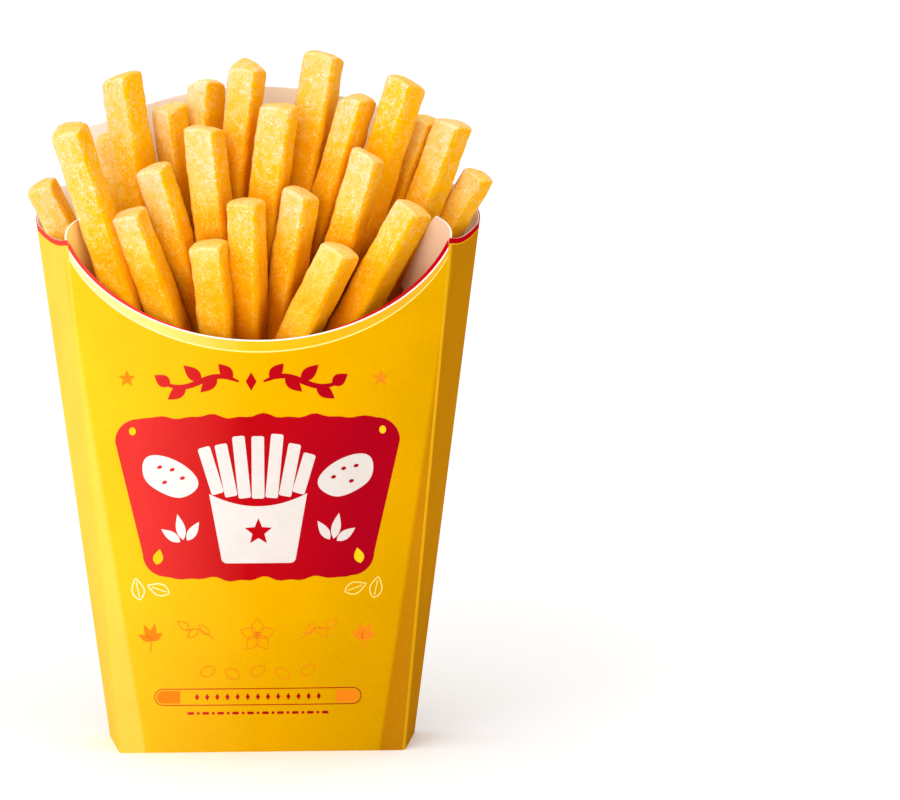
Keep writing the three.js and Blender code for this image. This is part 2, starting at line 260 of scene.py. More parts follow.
# The unprinted side of the board, tinted low down and in patches, partly by fat soaked in from the hot fries
# and partly as painted shade. Its two colours are the dry one and the soaked and shaded one.
def inside_material(name, dry, soaked_and_shaded):
    material, tree, shader = new_material(name)
    coords = object_coords(tree)
    low = ranged(tree, height_of(tree, coords), SOAK_AND_SHADE.dry_z, SOAK_AND_SHADE.wet_z)
    patches = noise_value(tree, coords, SOAK_AND_SHADE.patches, 4.0)
    wet_and_shaded = math_node(tree, "ADD", low, math_node(tree, "MULTIPLY", patches, 0.5))
    tint = mixed(tree, ranged(tree, wet_and_shaded, 0.35, 1.3), dry, soaked_and_shaded)
    feed_named(
        tree, shader, Base_Color=tint, Roughness=0.7, Specular_IOR_Level=0.05,
        Subsurface_Weight=0.5, Subsurface_Radius=(1.0, 0.7, 0.4), Subsurface_Scale=0.001,
    )
    bumped(tree, shader, noise_value(tree, coords, 1200.0, 3.0, 0.6), 0.25, 0.0002)
    return material


# The crust's noises: scale, detail, roughness and distortion.
CRUST_NOISE = {
    "broad": (150.0, 2.0), "patch": (480.0, 3.0, 0.55, 0.5), "worms": (900.0, 1.0, 0.5, 1.4),
    "breaks": (520.0, 2.0), "specks": (1700.0, 0.0), "pits": (1500.0, 2.0, 0.6),
}
# The crust's colours, from golden to palest, those of its cut end and its pale marks, and the tints of its
# grooves and of what lies deeper and deeper in the heap. The paler colours stand partly for dry crust and
# partly for painted light on the faces towards the lamps; the tints of depth are painted shade.
CRUST_COLOURS = {
    "golden": (0.91, 0.41, 0.0), "amber": (0.93, 0.46, 0.0), "pale": (0.97, 0.52, 0.03),
    "cream": (0.99, 0.6, 0.2), "dry": (1.0, 0.71, 0.42), "end": (1.0, 0.64, 0.18),
    "mark": (1.0, 0.76, 0.56), "groove": (1.0, 0.88, 0.45), "shallow": (1.0, 1.0, 0.6),
    "deep": (0.94, 0.76, 0.28), "bottom": (0.53, 0.27, 0.1),
}


# Fried potato. The attribute "crust" holds paleness, which is partly painted light, depth in the heap, which
# paints shade, the fry's own tone and its cut end; "grain" holds a place in the fry's own frame, shortened
# along it so that the texture runs lengthways.
def fried_material():
    material, tree, shader = new_material("fried_potato")
    crust = add_node(tree, "Attribute", {"attribute_name": "crust"})
    grain = add_node(tree, "Attribute", {"attribute_name": "grain"}).outputs["Vector"]
    parts = add_node(tree, "SeparateColor", Color=crust.outputs["Color"])
    pale, deep, tone = parts.outputs[0], parts.outputs[1], parts.outputs[2]
    noises = {name: noise_value(tree, grain, *settings) for name, settings in CRUST_NOISE.items()}
    colours = CRUST_COLOURS

    spread = math_node(tree, "ADD", noises["broad"], math_node(tree, "MULTIPLY", noises["patch"], 0.8))
    ragged = math_node(tree, "ADD", pale, math_node(tree, "SUBTRACT", spread, 0.9))
    ridge = math_node(tree, "ABSOLUTE", math_node(tree, "SUBTRACT", noises["worms"], 0.5))
    broken = ranged(tree, noises["breaks"], 0.44, 0.54)
    line = math_node(tree, "MULTIPLY", ranged(tree, ridge, 0.055, 0.012), broken)
    marks = math_node(tree, "MAXIMUM", line, ranged(tree, noises["specks"], 0.67, 0.78, 0.0, 0.65))
    crackle = math_node(tree, "MULTIPLY", marks, ranged(tree, ragged, 0.0, 0.7, 0.3, 0.95))
    cut = math_node(tree, "MULTIPLY", crust.outputs["Alpha"], 0.3)

    body = mixed(tree, tone, colours["golden"], colours["amber"])
    # Paler where the crust is pale, which includes painted light on the faces towards the lamps.
    for low, high, name in ((0.1, 0.7, "pale"), (0.55, 1.25, "cream"), (1.05, 1.7, "dry")):
        body = mixed(tree, ranged(tree, ragged, low, high), body, colours[name])
    body = mixed(tree, cut, body, colours["end"])
    body = mixed(tree, crackle, body, colours["mark"])
    body = tinted(tree, ranged(tree, noises["worms"], 0.55, 0.65, 0.0, 0.9), body, colours["groove"])
    # Painted shade: darker and more orange deeper in the heap.
    for low, high, name in ((0.03, 0.25, "shallow"), (0.1, 0.45, "deep"), (0.5, 1.05, "bottom")):
        body = tinted(tree, ranged(tree, deep, low, high), body, colours[name])
    feed_named(
        tree, shader, Base_Color=body, Roughness=0.5, Specular_IOR_Level=0.015, Specular_Tint=(1.0, 0.7, 0.2),
        Subsurface_Weight=0.15, Subsurface_Radius=(1.0, 0.5, 0.1), Subsurface_Scale=0.003,
    )
    height = math_node(tree, "ADD", math_node(tree, "MULTIPLY", marks, 0.7), noises["pits"])
    bumped(tree, shader, height, 0.4, 0.0003)
    return material


# Painted light and shade: the left side panel and the left of the front are pale, as if lit, and the ink
# darkens towards the right and most on the right side panel, as if shaded.
YELLOW = board_material("yellow_print", [
    (-0.064, (0.97, 0.64, 0.075)), (-0.0535, (0.97, 0.64, 0.075)), (-0.052, (0.94, 0.545, 0.014)),
    (-0.036, (0.93, 0.5, 0.01)), (0.0, (0.82, 0.405, 0.0)), (0.04, (0.69, 0.34, 0.0)),
    (0.052, (0.67, 0.325, 0.0)), (0.0535, (0.52, 0.205, 0.002)), (0.064, (0.54, 0.215, 0.004)),
], 0.5)
# Painted highlight: a paler strip down the front corners' folds and along the line under the side and back
# border, with painted light at the left and shade at the right.
CREASE_HIGHLIGHT = board_material("yellow_crease_highlight", [(-0.06, (0.97, 0.63, 0.06)), (0.06, (0.74, 0.37, 0.005))], 0.5)
# Painted highlight: the pale band under the front rim, where the lip catches the light; it is palest at the
# left and deepens to the right as painted light and shade.
BAND = board_material("rim_band", [
    (-0.055, (1.0, 0.82, 0.38)), (-0.03, (1.0, 0.72, 0.19)), (-0.004, (0.92, 0.49, 0.01)),
    (0.02, (0.83, 0.43, 0.008)), (0.055, (0.76, 0.38, 0.03)),
], 0.45)
# Painted highlight: the pale line under the front band; the same material prints the cream leaf lines. Its
# stops paint light at the left and shade at the right.
LINE = board_material("pale_line", [
    (-0.055, (1.0, 0.96, 0.72)), (-0.01, (1.0, 0.8, 0.24)), (0.055, (0.99, 0.74, 0.22)),
], 0.45)
# Painted light and shade: the red border is bright at the left and dark at the right.
RED_BORDER = board_material("red_border", [(-0.06, (0.98, 0.07, 0.045)), (0.05, (0.5, 0.0, 0.006))], 0.4)
# Painted highlight and shade: the red print has a sheen at the left and darkens towards the right.
RED = board_material("red_print", [
    (-0.04, (0.73, 0.036, 0.031)), (-0.005, (0.48, 0.003, 0.006)), (0.035, (0.37, 0.001, 0.01)),
], 0.42)
# Painted light and shade: the white print is brightest at the left and greyer towards the right.
WHITE = board_material("white_print", [
    (-0.035, (0.82, 0.8, 0.76)), (0.0, (0.74, 0.67, 0.63)), (0.035, (0.68, 0.61, 0.56)),
], 0.5)
ORANGE = board_material("orange_print", (0.9, 0.24, 0.01), 0.45)
GOLD = board_material("gold_print", (0.95, 0.56, 0.01), 0.45)
CUT_EDGE = board_material("cut_edge", (0.96, 0.93, 0.86), 0.75)
INSIDE = inside_material("board_inside", (0.9, 0.78, 0.69), (0.84, 0.4, 0.13))
# The ears are copies of the inside board coloured for the light on each, which paints light and shade: the
# left one orange, as if shaded and lit from the fries, the right one a darker peach.
EAR_LEFT = inside_material("board_ear_left", (1.0, 0.6, 0.17), (1.0, 0.44, 0.0))
EAR_RIGHT = inside_material("board_ear_right", (0.72, 0.5, 0.34), (0.58, 0.21, 0.05))
FRIED = fried_material()


# ---- Meshes

def add_object(name, data):
    obj = bpy.data.objects.new(name, data)
    bpy.context.scene.collection.objects.link(obj)
    return obj


# A piece from vertices in millimetres; face_kinds picks each face's material.
def make_piece(name, vertices, faces, materials, face_kinds=None, sharp=40):
    mesh = bpy.data.meshes.new(name)
    scaled = (np.asarray(vertices, float) * MM).tolist()
    mesh.from_pydata(scaled, [], faces)
    for material in materials:
        mesh.materials.append(material)
    if face_kinds is not None:
        mesh.polygons.foreach_set("material_index", face_kinds)
    mesh.polygons.foreach_set("use_smooth", [True] * len(mesh.polygons))
    mesh.set_sharp_from_angle(angle=radians(sharp))
    mesh.validate()
    mesh.update()
    return add_object(name, mesh)


# The faces between stacked closed outlines of count points each, and the two that close the stack.
def stack_faces(outlines, count):
    faces = []
    for r in range(outlines - 1):
        for i in range(count):
            j = (i + 1) % count
            faces.append((r * count + i, r * count + j, (r + 1) * count + j, (r + 1) * count + i))
    last = (outlines - 1) * count
    return [*faces, tuple(range(last, last + count)), tuple(reversed(range(count)))]


def dress(piece, node):
    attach(piece, "root")
    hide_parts(node)


# ---- The carton's plan, in complex numbers x + iy: a trapezium with rounded corners that widens with height

# Each corner and its fillet, counted from the left end of the front panel.
def corners(z):
    at, share = {}, z / CORNER_Z
    for key, low in vars(BASE).items():
        at[key] = lerp(low, vars(MOUTH)[key], min(share, 1) if key.endswith("fillet") else share)
    return [
        (complex(side * at[panel], at[panel + "_y"]), at[panel + "_fillet"])
        for panel, side in (("front", -1), ("front", 1), ("back", 1), ("back", -1))
    ]


def direction(start, end):
    return (end - start) / abs(end - start)


def outward(along):
    return along * -1j


# A point on corner k's fillet, where turn runs from 0 on panel k - 1 to 1 on panel k.
def fillet_point(k, turn, z, inset):
    ring = corners(z)
    corner, fillet = ring[k]
    before = direction(ring[k - 1][0], corner)
    after = direction(corner, ring[(k + 1) % 4][0])
    bend = acos((before * after.conjugate()).real)
    centre = corner - before * fillet * tan(bend / 2) - outward(before) * fillet
    return centre + outward(before) * complex(cos(turn * bend), sin(turn * bend)) * (fillet - inset)


# A point on panel k, where along runs from 0 at corner k's fillet to 1 at the next one.
def panel_point(k, along, z, inset):
    start = fillet_point(k, 1, z, inset)
    end = fillet_point((k + 1) % 4, 0, z, inset)
    level = sin(pi * min(z / CORNER_Z, 1))
    swell = BULGE[k] * 4 * along * (1 - along) * level
    place = start + (end - start) * along
    wave = noise.noise(Vector((place.real, place.imag, z)) / WARP.size)
    free = min(1, WARP.edge_rise * along * (1 - along)) * min(1, z / WARP.full_z)
    return place + outward(direction(start, end)) * (swell + WARP.height * wave * free)


def ellipse_z(shape, x):
    return shape.low_z + shape.rise * (1 - sqrt(1 - (x / shape.half_width) ** 2))


def arch_z(x):
    return ARCH.top_z - ARCH.radius + sqrt(ARCH.radius ** 2 - x**2)


# The share of panel k's length at which a point of height z has this x.
def share_at(k, x, z):
    start = fillet_point(k, 1, z, 0).real
    end = fillet_point((k + 1) % 4, 0, z, 0).real
    return (x - start) / (end - start)


# Where a point function has its point, in x, y and z.
def placed(point, z, inset):
    place = point(z, inset)
    return (place.real, place.imag, z)


# A point on the front panel's outer face, raised by lift.
def on_front(x, z, lift):
    return placed(partial(panel_point, 0, share_at(0, x, z)), z, -lift)


# The right half of the back rim, as x and z from the side to the middle.
def back_rim_half():
    steps, arch_steps = 12, 36
    points = []
    for t in shares_of(steps):
        x = lerp(SHOULDER.outer_x, SHOULDER.inner_x, t)
        share = (x - SHOULDER.inner_x) / (MOUTH.back - SHOULDER.inner_x)
        points.append((x, CORNER_Z + SHOULDER.rise * sqrt(1 - share**2)))
    corner_low = arch_z(ARCH.end_x) - ARCH.corner_rise
    for t in shares_of(steps):
        x = lerp(ARCH.end_x, ARCH.corner_x, cos(t * pi / 2))
        points.append((x, corner_low + ARCH.corner_rise * sin(t * pi / 2)))
    for t in shares_of(arch_steps)[1:]:
        x = ARCH.end_x * (1 - t)
        points.append((x, arch_z(x)))
    return points


# How much longer a vertical step is than the width it gives across the sloping front rim.
def rim_slant(x):
    share = x / FRONT_RIM.half_width
    slope = FRONT_RIM.rise / FRONT_RIM.half_width * share / sqrt(1 - share**2)
    return sqrt(1 + slope**2)


# The rim as columns round the plan: the point function, then the heights of the rim, of the print's top
# and of the border's foot, then which part of the rim it is.
def rim_columns():
    columns = []
    front_steps, side_steps = 110, 26

    def add_column(point, rim, part="side"):
        columns.append((point, rim, rim - SHOWN_EDGE.side, rim - BORDER.height, part))

    def add_fillet(k, steps, rims, part):
        for t in shares_of(steps)[1:-1]:
            add_column(partial(fillet_point, k, t), lerp(*rims, t), part)

    def add_side(k, reverse):
        for t in shares_of(side_steps):
            along = 1 - t if reverse else t
            rim = CORNER_Z - SIDE_DIP * 4 * along * (1 - along) + BORDER.corner_lift * (1 - along) ** 3
            add_column(partial(panel_point, k, t), rim)

    front_end = fillet_point(1, 0, CORNER_Z, 0).real
    for t in shares_of(front_steps):
        x = front_end * sin((t - 0.5) * pi)
        rim = ellipse_z(FRONT_RIM, x)
        top = rim - SHOWN_EDGE.front * rim_slant(x)
        point = partial(panel_point, 0, share_at(0, x, rim))
        columns.append((point, rim, top, ellipse_z(RIM_LINE, x), "front"))
    half = back_rim_half()
    back_end_z = half[0][1]
    corner_z = CORNER_Z + BORDER.corner_lift
    add_fillet(1, 6, (corner_z, corner_z), "corner")
    add_side(1, False)
    add_fillet(2, 12, (CORNER_Z, back_end_z), "side")
    for x, z in half + [(-x, z) for x, z in reversed(half[:-1])]:
        add_column(partial(panel_point, 2, share_at(2, x, z)), z)
    add_fillet(3, 12, (back_end_z, CORNER_Z), "side")
    add_side(3, True)
    add_fillet(0, 6, (corner_z, corner_z), "corner")
    return columns


COLUMNS = rim_columns()


# The finish of a face in this band, by the parts of the rim that it lies under.
def finish_of(band, parts):
    front = parts == {"front"}
    if band == "border":
        return "band" if front else "red"
    # The crease finish paints a highlight down the front corners and along the line under the side and back
    # border.
    if (band == "line" and not front) or (band == "yellow" and parts == {"corner"}):
        return "crease"
    if band == "lip" or (band == "edge" and "corner" in parts):
        return "edge" if front else "red"
    return band


# The folded blank: printed outside, a band or a red border under the rim's cut edge, bare inside.
def carton_board():
    steps = 46
    materials = {
        "yellow": YELLOW, "crease": CREASE_HIGHLIGHT, "line": LINE, "band": BAND, "red": RED_BORDER,
        "edge": CUT_EDGE, "inside": INSIDE,
    }
    kinds = list(materials)
    points, rims, tops, feet, parts = zip(*COLUMNS)
    heights = [([(foot - PALE_LINE) * t for foot in feet], 0) for t in shares_of(steps)]
    heights += [(feet, 0), (tops, 0), (rims, 0), (rims, BOARD * RED_LIP)]
    heights += [([lerp(rim, BOARD, t) for rim in rims], BOARD) for t in shares_of(steps)]
    bands = ["yellow"] * steps + ["line", "border", "edge", "lip", "edge"] + ["inside"] * steps
    vertices = [placed(point, z, inset) for ring, inset in heights for point, z in zip(points, ring)]
    face_kinds = [
        kinds.index(finish_of(band, {part, next_part}))
        for band in bands for part, next_part in zip(parts, parts[1:] + parts[:1])
    ]
    face_kinds += [kinds.index("inside"), kinds.index("yellow")]
    faces = stack_faces(len(heights), len(COLUMNS))
    return make_piece("carton_board", vertices, faces, list(materials.values()), face_kinds)


PLATE_CELL = 4.0  # plates are cut into cells so that they can bend


# A thin plate over flat polygons (u, v), bent by place(u, v, w) between w = low and w = high.
def make_plate(name, polygons, place, low, high, materials):
    flat = bmesh.new()
    for polygon in polygons:
        area = sum(a[0] * b[1] - b[0] * a[1] for a, b in zip(polygon, [*polygon[1:], polygon[0]]))
        ordered = polygon if area > 0 else polygon[::-1]
        flat.faces.new([flat.verts.new((u, v, 0)) for u, v in ordered])
    bmesh.ops.remove_doubles(flat, verts=flat.verts[:], dist=1e-4)
    bmesh.ops.triangulate(flat, faces=flat.faces[:])
    for axis in (0, 1):
        values = [v.co[axis] for v in flat.verts]
        for i in range(ceil(min(values) / PLATE_CELL), floor(max(values) / PLATE_CELL) + 1):
            normal = Vector((0, 0, 0))
            normal[axis] = 1
            bmesh.ops.bisect_plane(
                flat, geom=flat.verts[:] + flat.edges[:] + flat.faces[:],
                dist=1e-5, plane_co=normal * i * PLATE_CELL, plane_no=normal,
            )
    flat.verts.index_update()
    points = [(v.co.x, v.co.y) for v in flat.verts]
    count = len(points)
    vertices = [place(u, v, high) for u, v in points] + [place(u, v, low) for u, v in points]
    faces, face_kinds = [], []
    for face in flat.faces:
        loop = [v.index for v in face.verts]
        faces += [tuple(loop), tuple(i + count for i in reversed(loop))]
        face_kinds += [0, 0]
    for edge in flat.edges:
        if edge.is_boundary:
            loop = edge.link_loops[0]
            a, b = loop.vert.index, loop.link_loop_next.vert.index
            faces.append((a, a + count, b + count, b))
            face_kinds.append(len(materials) - 1)
    flat.free()
    return make_piece(name, vertices, faces, materials, face_kinds)


SIDE_NAMES = {-1: "left", 1: "right"}


# One ear: the free top corner of the inner flap, which leans into the carton from a front crease.
def ear(side):
    outline = [(0, EAR.foot_z - CORNER_Z), EAR.edge, EAR.notch, EAR.tip]
    start, middle, end = EAR.tip, (EAR.top_u, EAR.top_z - CORNER_Z), (0, EAR.end_v)
    curve_steps = 14
    for t in shares_of(curve_steps)[1:]:
        outline.append(tuple(
            (1 - t) ** 2 * start[a] + 2 * t * (1 - t) * middle[a] + t * t * end[a] for a in (0, 1)
        ))
    crease = Vector((MOUTH.front - BASE.front, MOUTH.front_y - BASE.front_y, CORNER_Z))
    crease.normalize()
    lean = radians(EAR.angle)
    inwards = Vector((-cos(lean), sin(lean), 0))
    face = inwards.cross(crease).normalized()
    hinge = Vector((MOUTH.front - BOARD, MOUTH.front_y + BOARD, CORNER_Z))

    def place(u, v, w):
        point = hinge + inwards * u + crease * v + face * w
        return (side * point.x, point.y, point.z)

    face_material = EAR_RIGHT if side > 0 else EAR_LEFT
    return make_plate(f"carton_ear_{SIDE_NAMES[side]}", [outline], place, 0, BOARD, [face_material, CUT_EDGE])


# The flap behind the front rim: its red border stands a little proud of the rim near the corner.
def front_ply(side):
    start_x = fillet_point(1, 0, CORNER_Z, BOARD).real - PLY.corner_gap
    outer = -BOARD - PLY.gap
    inner = outer - PLY.thick
    steps = 70
    vertices = []
    for t in shares_of(steps):
        x = lerp(start_x, PLY.end_x, t)
        rim = ellipse_z(FRONT_RIM, x)
        low = rim - PLY.drop
        top = rim + PLY.width * (1 - t) ** PLY.fade * rim_slant(x)
        section = ((low, outer), (top, outer), (top, inner), (low, inner))
        vertices += [on_front(side * x, z, lift) for z, lift in section]
    faces = stack_faces(steps + 1, 4)
    if side > 0:
        faces = [face[::-1] for face in faces]
    face_kinds = [0, 0, 1, 1] * steps + [1, 1]
    return make_piece(f"carton_ply_{SIDE_NAMES[side]}", vertices, faces, [RED_BORDER, INSIDE], face_kinds)


# ---- Print on the front: flat shapes in x and z, laid on the panel. A piece of print is given as its
# name, its polygons, its material and how far it stands proud.

# Points round a centre; radius_at(turn) gives the radius across and the radius up there.
def ring_points(count, radius_at, centre=(0, 0)):
    points = []
    for i in range(count):
        turn = 2 * pi * i / count
        across, up = radius_at(turn)
        points.append((centre[0] + across * cos(turn), centre[1] + up * sin(turn)))
    return points


def oval(count, across, up, centre=(0, 0)):
    return ring_points(count, lambda _: (across, up), centre)


def polar(centre, radius, angle):
    return (centre[0] + radius * cos(angle), centre[1] + radius * sin(angle))


# Points on an arc, from the start angle through the sweep, both in degrees.
def arc(centre, radius, start, sweep, steps):
    return [polar(centre, radius, radians(start + sweep * t)) for t in shares_of(steps)]


def turned(points, degrees, centre=(0, 0), mirror=1):
    c, s = cos(radians(degrees)), sin(radians(degrees))
    return [(centre[0] + mirror * (u * c - v * s), centre[1] + u * s + v * c) for u, v in points]


def star(centre, outer, inner, tips=5):
    return [polar(centre, (outer, inner)[i % 2], pi / 2 + pi * i / tips) for i in range(2 * tips)]


# A leaf from its stalk at (0, 0) to its point at (length, 0), widest nearer the stalk.
def leaf(length, width, steps=9, fullness=0.8):
    upper = [(length * t, width / 2 * sin(pi * t**fullness)) for t in shares_of(steps)]
    return upper + [(u, -v) for u, v in reversed(upper[1:-1])]


# Quads along a path, with a width that may change from point to point.
def stroke(path, width, closed=False):
    count = len(path)
    widths = width if isinstance(width, list) else [width] * count
    left, right = [], []
    for i, (u, v) in enumerate(path):
        before = path[i - 1] if closed or i > 0 else path[i]
        after = path[(i + 1) % count] if closed or i < count - 1 else path[i]
        du, dv = after[0] - before[0], after[1] - before[1]
        length = hypot(du, dv)
        nu, nv = -dv / length * widths[i] / 2, du / length * widths[i] / 2
        left.append((u + nu, v + nv))
        right.append((u - nu, v - nv))
    quads = []
    for i in range(count if closed else count - 1):
        j = (i + 1) % count
        quads.append([right[i], right[j], left[j], left[i]])
    return quads


BADGE = Values(
    centre=(-0.7, 74.3), top_half=39.4, low_half=32.2, half_height=22.6, corner=6.5, bow=0.8,
    waves=((0.55, 0.42, 1), (0.35, 0.9, 0)),  # height, rate along the edge and shift of each
)
QUARTERS = ((1, -1, -90), (1, 1, 0), (-1, 1, 90), (-1, -1, 180))  # the corners' sides and their start angles
STICKS = Values(each_side=3, width=3.5, corner=0.6, step=3.7, fan=5.5, foot_z=74.2, foot_rise=0.16)
STICK_HEIGHT = Values(middle=17.5, fall=0.55, spread=3.0)
SCOOP = Values(half=13.6, rim_z=75.6, dip=3.6, low_half=10.4, low_z=55.6, corner=1.6, rim_steps=16)
POTATO = Values(
    x=24.6, z=80.5, across=8.2, up=5.4, tilt=28, eyes=((-3.4, 1.4), (0.4, -2.0), (3.6, 1.2), (0.2, 2.2)),
)
SPRIG = Values(x=20.6, z=61.0, gap=1.4, width=2.6, leaves=((7.6, 78), (6.4, 35), (6.4, 122)))


# The red field: a rounded trapezium with a gently waved edge.
def badge_outline():
    cx, cz = BADGE.centre
    half_height = BADGE.half_height
    radius = BADGE.corner
    edge_steps = 40
    points = []
    for sx, sz, start in QUARTERS:
        span = (BADGE.top_half if sz > 0 else BADGE.low_half) - radius
        points += arc((sx * span, sz * (half_height - radius)), radius, start, 90, 10)
        if sx != sz:
            continue
        for i in range(1, edge_steps):
            x = sx * lerp(span, -span, i / edge_steps)
            ripple = sum(height * sin(x * rate + shift) for height, rate, shift in BADGE.waves)
            fade = sin(pi * i / edge_steps) ** 0.5
            points.append((x, sz * half_height + ripple * fade + sz * BADGE.bow * fade))
    return [(cx + u, cz + v) for u, v in points]


def rounded_bar(width, height, corner, steps=4):
    points = []
    for sx, sz, start in QUARTERS:
        centre = (sx * (width / 2 - corner), sz * (height / 2 - corner))
        points += arc(centre, corner, start, 90, steps)
    return points


def on_potato(points, side):
    return turned(points, POTATO.tilt, (BADGE.centre[0] + side * POTATO.x, POTATO.z), side)


# A plain pictogram in white: a scoop of fry sticks between two potatoes, with a sprig under each potato.
def badge_white():
    cx = BADGE.centre[0]
    shapes = []
    for i in range(-STICKS.each_side, STICKS.each_side + 1):
        draw = STICK_HEIGHT.spread * (hash_of(i + 40) - 0.5)
        height = STICK_HEIGHT.middle - STICK_HEIGHT.fall * i * i + draw
        lean = radians(STICKS.fan * i)
        foot = (cx + STICKS.step * i, STICKS.foot_z + STICKS.foot_rise * i * i)
        middle = (foot[0] + sin(lean) * height / 2, foot[1] + cos(lean) * height / 2)
        stick = rounded_bar(STICKS.width, height, STICKS.corner)
        shapes.append(turned(stick, -STICKS.fan * i, middle))
    across = [2 * t - 1 for t in shares_of(SCOOP.rim_steps)]
    scoop = [(cx + SCOOP.half * t, SCOOP.rim_z - SCOOP.dip * (1 - t * t)) for t in across]
    corner = SCOOP.corner
    for sx, start in ((1, 0), (-1, -90)):
        centre = (cx + sx * (SCOOP.low_half - corner), SCOOP.low_z + corner)
        scoop += arc(centre, corner, start, -90, 5)
    shapes.append(scoop)
    potato = ring_points(36, lambda t: (POTATO.across + 0.5 * sin(3 * t), POTATO.up + 0.4 * cos(2 * t)))
    for side in (-1, 1):
        shapes.append(on_potato(potato, side))
        for length, angle in SPRIG.leaves:
            apart = [(u + SPRIG.gap, v) for u, v in leaf(length, SPRIG.width)]
            shapes.append(turned(apart, angle, (cx + side * SPRIG.x, SPRIG.z), side))
    return shapes


# The potatoes' eyes and a star on the scoop, in the field's red.
def badge_red():
    eye = oval(10, 0.75, 0.5)
    shapes = [star((BADGE.centre[0], 64.6), 4.0, 1.75)]
    for side in (-1, 1):
        for place in on_potato(POTATO.eyes, side):
            shapes.append(turned(eye, 20, place))
    return shapes


VINE = Values(
    centre=(-2.4, 107.4), start=3.4, length=21.5, wave=1.5, stem=0.5, swell=1.1, leaf=3.4, steps=30,
)
VINE_LEAVES = ((0.08, 48, 5.8), (0.28, -44, 6.4), (0.48, 42, 6.6), (0.68, -36, 6.2), (0.88, 34, 5.2))


# A vine divider: two mirrored waved stems with leaves, meeting at a lozenge.
def vine():
    cx, cz = VINE.centre
    stems, leaves = [], [star((cx, cz), 2.6, 1.5, tips=2)]

    def on_stem(t, mirror):
        return (cx + mirror * (VINE.start + VINE.length * t), cz + VINE.wave * sin(2 * pi * t))

    shares = shares_of(VINE.steps)
    widths = [VINE.stem + VINE.swell * sin(pi * t) ** 0.7 for t in shares]
    for mirror in (-1, 1):
        stems += stroke([on_stem(t, mirror) for t in shares], widths)
        for t, angle, length in VINE_LEAVES:
            leaves.append(turned(leaf(length, VINE.leaf), angle, on_stem(t, mirror), mirror))
    return [
        ("print_stems", stems, RED, 0.03),
        ("print_vine_leaves", leaves, RED, 0.045),
    ]


def oval_ring(centre, across, up, width, turn=0.0):
    return stroke(turned(oval(28, across, up), turn, centre), width, closed=True)


DOT = Values(x=34.6, z=93.4, across=0.95, up=1.15)
DROP = Values(x=28.4, z=55.2, length=4.6, width=2.8, lean=12)
STARS = ((-36.6, 108.3), (33.4, 108.0))


# The red badge and its pictogram, the vine over it and two stars.
def front_print():
    cx = BADGE.centre[0]
    drop = leaf(DROP.length, DROP.width)
    dots, drops = [], []
    for side in (-1, 1):
        dots.append(oval(16, DOT.across, DOT.up, (cx + side * DOT.x, DOT.z)))
        drops.append(turned(drop, 90 + side * DROP.lean, (cx + side * DROP.x, DROP.z)))
    stars = [star(centre, 2.5, 1.1) for centre in STARS]
    return [
        ("print_badge", [badge_outline()], RED, 0.035),
        ("print_badge_white", badge_white(), WHITE, 0.05),
        *vine(),
        ("print_badge_red", badge_red(), RED, 0.065),
        ("print_badge_yellow", dots + drops, GOLD, 0.05),
        ("print_stars", stars, ORANGE, 0.03),
    ]


PRINT_X = -1.2  # the middle of the print under the badge
TUFT = Values(x=29.5, z=33.0, stalk=(0.5, -3.4), width=1.9)
TUFT_LEAVES = ((25, 4.2), (65, 5.4), (100, 5.2), (140, 3.8))  # angle and length
LINE_LEAF = Values(length=6.4, width=3.4, rib=((0.8, 0), (5.2, 0)))
LINE_LEAVES = ((32.6, 45.0, 78), (24.5, 47.0, 20))  # x, z and angle
TENDRIL = Values(start=12, length=8, foot_z=33.4, rise=3.2, curl=2.2, steps=4)
TENDRIL_LEAVES = ((0.2, 50), (0.55, -35), (0.9, 40))  # place along the tendril and angle
FLOWER = Values(z=34.5, petals=5, length=5.0, width=3.2, heart=0.9)
OVALS = Values(count=5, first_x=-15.2, step=7, z=23.6, sway=0.4, across=2.1, up=1.4, tilt=30)


# Thin garden motifs under the badge, in orange and cream.
def garden_print():
    def on_tendril(t, mirror):
        x = PRINT_X + mirror * (TENDRIL.start + TENDRIL.length * t)
        return (x, TENDRIL.foot_z + TENDRIL.rise * sin(TENDRIL.curl * t))

    orange, cream = [], []
    for mirror in (-1, 1):
        foot = (PRINT_X + mirror * TUFT.x, TUFT.z)
        for angle, length in TUFT_LEAVES:
            orange.append(turned(leaf(length, TUFT.width), angle, foot, mirror))
        orange += stroke(turned((TUFT.stalk, (0, 0)), 0, foot, mirror), 0.28)
        for x, z, angle in LINE_LEAVES:
            centre = (PRINT_X + mirror * x, z)
            outline = turned(leaf(LINE_LEAF.length, LINE_LEAF.width), angle, centre, mirror)
            cream += stroke(outline, 0.3, closed=True)
            cream += stroke(turned(LINE_LEAF.rib, angle, centre, mirror), 0.25)
        orange += stroke([on_tendril(t, mirror) for t in shares_of(TENDRIL.steps)], 0.3)
        for t, angle in TENDRIL_LEAVES:
            outline = turned(leaf(4.0, 2.0), angle, on_tendril(t, mirror), mirror)
            orange += stroke(outline, 0.26, closed=True)
    flower = (PRINT_X, FLOWER.z)
    for i in range(FLOWER.petals):
        petal = turned(leaf(FLOWER.length, FLOWER.width), 90 + 360 * i / FLOWER.petals, flower)
        orange += stroke(petal, 0.28, closed=True)
    orange += oval_ring(flower, FLOWER.heart, FLOWER.heart, 0.3)
    for i in range(OVALS.count):
        turn = (-1) ** i
        centre = (OVALS.first_x + OVALS.step * i, OVALS.z + OVALS.sway * turn)
        orange += oval_ring(centre, OVALS.across, OVALS.up, 0.24, OVALS.tilt * turn)
    return [
        ("print_leaves", orange, ORANGE, 0.03),
        ("print_leaf_lines", cream, LINE, 0.03),
    ]


